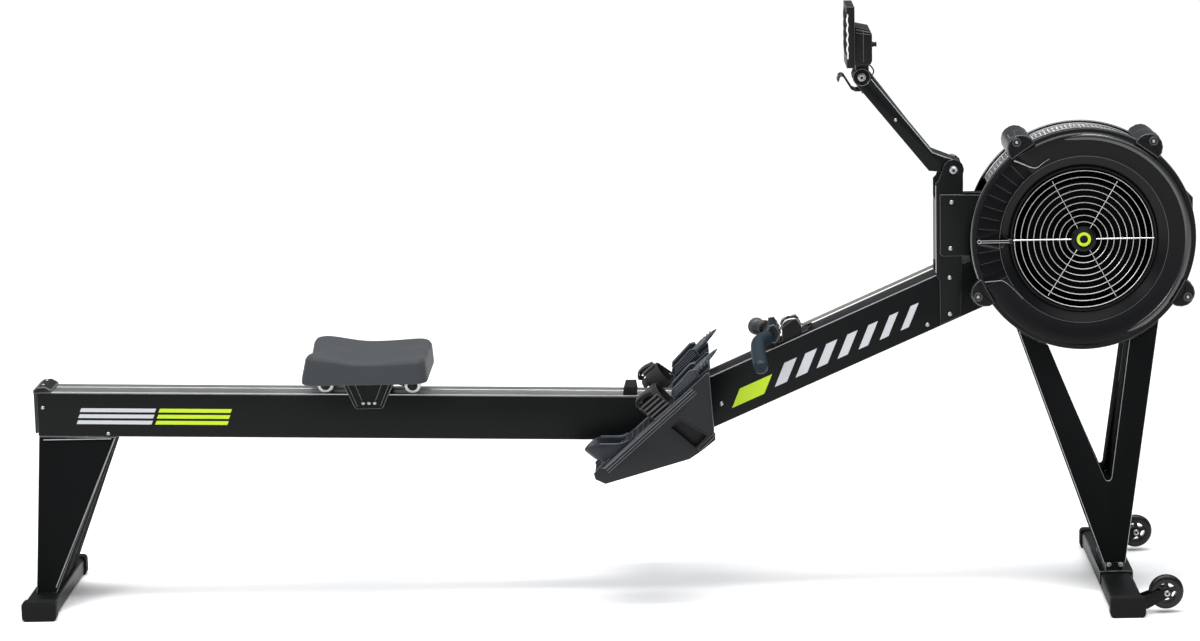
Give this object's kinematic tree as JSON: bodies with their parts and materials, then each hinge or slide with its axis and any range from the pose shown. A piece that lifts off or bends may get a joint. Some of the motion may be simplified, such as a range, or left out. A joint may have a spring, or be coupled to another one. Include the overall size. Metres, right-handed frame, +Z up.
{
  "type": "rowing machine",
  "caption": "Air-resistance rowing machine with a sliding seat on a monorail, foot stretchers, pull handle on a chain and a housed fan flywheel.",
  "frame": {"origin": "on the floor under the middle of the machine's bounding box", "axes": "+X along the machine from the seat to the flywheel, +Z up, -Y the side with the damper lever"},
  "size_m": [2.448, 0.61, 1.235],
  "materials": {
    "frame_black": "satin black powder coat, fine texture",
    "track_steel": "brushed stainless strip",
    "cap_plastic": "fine-grained moulded plastic",
    "cover_plastic": "satin moulded plastic with soft highlights",
    "rubber_black": "matte rubber",
    "wheel_black": "satin polyurethane",
    "grille_wire": "bright plated wire",
    "fan_metal": "dull metal",
    "fastener_zinc": "zinc-plated steel",
    "chain_steel": "nickel-plated steel",
    "footboard_charcoal": "moulded charcoal plastic",
    "heel_cup_slate": "moulded slate plastic",
    "strap_webbing": "woven black webbing",
    "seat_foam": "moulded slate-grey integral-skin foam",
    "roller_white": "white nylon",
    "handle_black": "moulded black plastic",
    "grip_rubber": "navy-grey rubber",
    "monitor_plastic": "fine-grained black plastic",
    "screen_glass": "liquid-crystal window",
    "key_grey": "soft grey keys"
  },
  "bodies": {
    "frame": {"monorail_beam": "frame_black", "seat_track": "track_steel", "rear_end_cap": "cap_plastic", "front_seat_stop": "rubber_black", "rear_leg_near": "frame_black", "rear_leg_far": "frame_black", "rear_foot_tube": "frame_black", "rear_foot_cap_near": "rubber_black", "rear_foot_cap_far": "rubber_black", "front_foot": "frame_black", "front_foot_cap_near": "rubber_black", "front_foot_cap_far": "rubber_black", "front_leg_near": "frame_black", "front_leg_far": "frame_black", "leg_saddle": "frame_black", "main_beam": "frame_black", "column": "frame_black", "chain_guide": "cap_plastic", "axle_bracket": "frame_black", "axle_bearing": "fastener_zinc", "housing_cradle": "frame_black", "near_cover": "cover_plastic", "far_cover": "cover_plastic", "cage_band": "frame_black", "intake_grille": "grille_wire", "return_cord": "rubber_black", "footboard_near": "footboard_charcoal", "footboard_far": "footboard_charcoal", "footboard_bridge": "frame_black", "foot_strap_near": "strap_webbing", "foot_strap_far": "strap_webbing", "handle_holder": "cap_plastic", "chain": "chain_steel", "arm_pivot_bolt": "fastener_zinc"},
    "seat": {"seat_pad": "seat_foam", "seat_carriage": "frame_black"},
    "rollers_rear": {"seat_rollers_rear": "roller_white"},
    "rollers_front": {"seat_rollers_front": "roller_white"},
    "handle": {"handle_core": "handle_black", "handle_grip_near": "grip_rubber", "handle_grip_far": "grip_rubber"},
    "flywheel": {"flywheel": "fan_metal", "flywheel_axle": "fastener_zinc"},
    "sprocket": {"drive_sprocket": "chain_steel"},
    "pulley": {"return_pulley": "cap_plastic"},
    "damper": {"damper_ring": "cover_plastic"},
    "heel_near": {"heel_cup_near": "heel_cup_slate"},
    "heel_far": {"heel_cup_far": "heel_cup_slate"},
    "caster_near": {"caster_wheel_near": "wheel_black"},
    "caster_far": {"caster_wheel_far": "wheel_black"},
    "arm": {"monitor_arm": "frame_black", "tilt_bolt": "fastener_zinc"},
    "monitor": {"monitor_front": "monitor_plastic", "monitor_screen": "screen_glass", "monitor_rear": "monitor_plastic", "sensor_lead": "rubber_black"},
    "key_1": {"monitor_key_1": "key_grey"},
    "key_2": {"monitor_key_2": "key_grey"},
    "key_3": {"monitor_key_3": "key_grey"},
    "key_4": {"monitor_key_4": "key_grey"}
  },
  "joints": [
    {"name": "seat_slide", "type": "slide", "parent": "frame", "child": "seat", "axis": [0.9997, 0, -0.0235], "range_m": [-0.545, 0.4]},
    {"name": "roller_spin_rear", "type": "hinge", "parent": "seat", "child": "rollers_rear", "pos_m": [-0.5905, 0, 0.45898], "axis": [0, 1, 0], "continuous": true},
    {"name": "roller_spin_front", "type": "hinge", "parent": "seat", "child": "rollers_front", "pos_m": [-0.4075, 0, 0.45468], "axis": [0, 1, 0], "continuous": true},
    {"name": "handle_pull", "type": "slide", "parent": "frame", "child": "handle", "axis": [-0.9703, 0, 0.2419], "range_m": [0, 1.15], "deforming": ["chain"]},
    {"name": "flywheel_spin", "type": "hinge", "parent": "frame", "child": "flywheel", "pos_m": [0.992, 0, 0.747], "axis": [0, 1, 0], "continuous": true},
    {"name": "sprocket_spin", "type": "hinge", "parent": "frame", "child": "sprocket", "pos_m": [0.992, 0, 0.747], "axis": [0, 1, 0], "continuous": true},
    {"name": "pulley_spin", "type": "hinge", "parent": "frame", "child": "pulley", "pos_m": [0.3, 0, 0.43304], "axis": [0, 1, 0], "continuous": true},
    {"name": "damper_turn", "type": "hinge", "parent": "frame", "child": "damper", "pos_m": [0.992, 0, 0.747], "axis": [0, 1, 0], "range_deg": [-24, 26]},
    {"name": "heel_cup_slide_near", "type": "slide", "parent": "frame", "child": "heel_near", "axis": [0.7627, 0, 0.6468], "range_m": [-0.03, 0.04]},
    {"name": "heel_cup_slide_far", "type": "slide", "parent": "frame", "child": "heel_far", "axis": [0.7627, 0, 0.6468], "range_m": [-0.03, 0.04]},
    {"name": "caster_spin_near", "type": "hinge", "parent": "frame", "child": "caster_near", "pos_m": [1.142, -0.26, 0.0433], "axis": [0, 1, 0], "continuous": true},
    {"name": "caster_spin_far", "type": "hinge", "parent": "frame", "child": "caster_far", "pos_m": [1.142, 0.26, 0.0433], "axis": [0, 1, 0], "continuous": true},
    {"name": "arm_fold", "type": "hinge", "parent": "frame", "child": "arm", "pos_m": [0.727, 0, 0.891], "axis": [0, 1, 0], "range_deg": [-55, 25]},
    {"name": "monitor_tilt", "type": "hinge", "parent": "arm", "child": "monitor", "pos_m": [0.54, 0, 1.086], "axis": [0, 1, 0], "range_deg": [-20, 30], "deforming": ["sensor_lead"]},
    {"name": "key_press_1", "type": "slide", "parent": "monitor", "child": "key_1", "axis": [1, 0, 0], "range_m": [0, 0.0012], "stiffness_N_per_m": 1200, "springref_m": -0.0002},
    {"name": "key_press_2", "type": "slide", "parent": "monitor", "child": "key_2", "axis": [1, 0, 0], "range_m": [0, 0.0012], "stiffness_N_per_m": 1200, "springref_m": -0.0002},
    {"name": "key_press_3", "type": "slide", "parent": "monitor", "child": "key_3", "axis": [1, 0, 0], "range_m": [0, 0.0012], "stiffness_N_per_m": 1200, "springref_m": -0.0002},
    {"name": "key_press_4", "type": "slide", "parent": "monitor", "child": "key_4", "axis": [1, 0, 0], "range_m": [0, 0.0012], "stiffness_N_per_m": 1200, "springref_m": -0.0002}
  ],
  "couplings": [
    {"joint": "roller_spin_rear", "follows": "seat_slide", "rad_per_m": 58.824},
    {"joint": "roller_spin_front", "follows": "seat_slide", "rad_per_m": 58.824},
    {"joint": "sprocket_spin", "follows": "handle_pull", "rad_per_m": -36.364},
    {"joint": "pulley_spin", "follows": "handle_pull", "rad_per_m": -12.5}
  ]
}
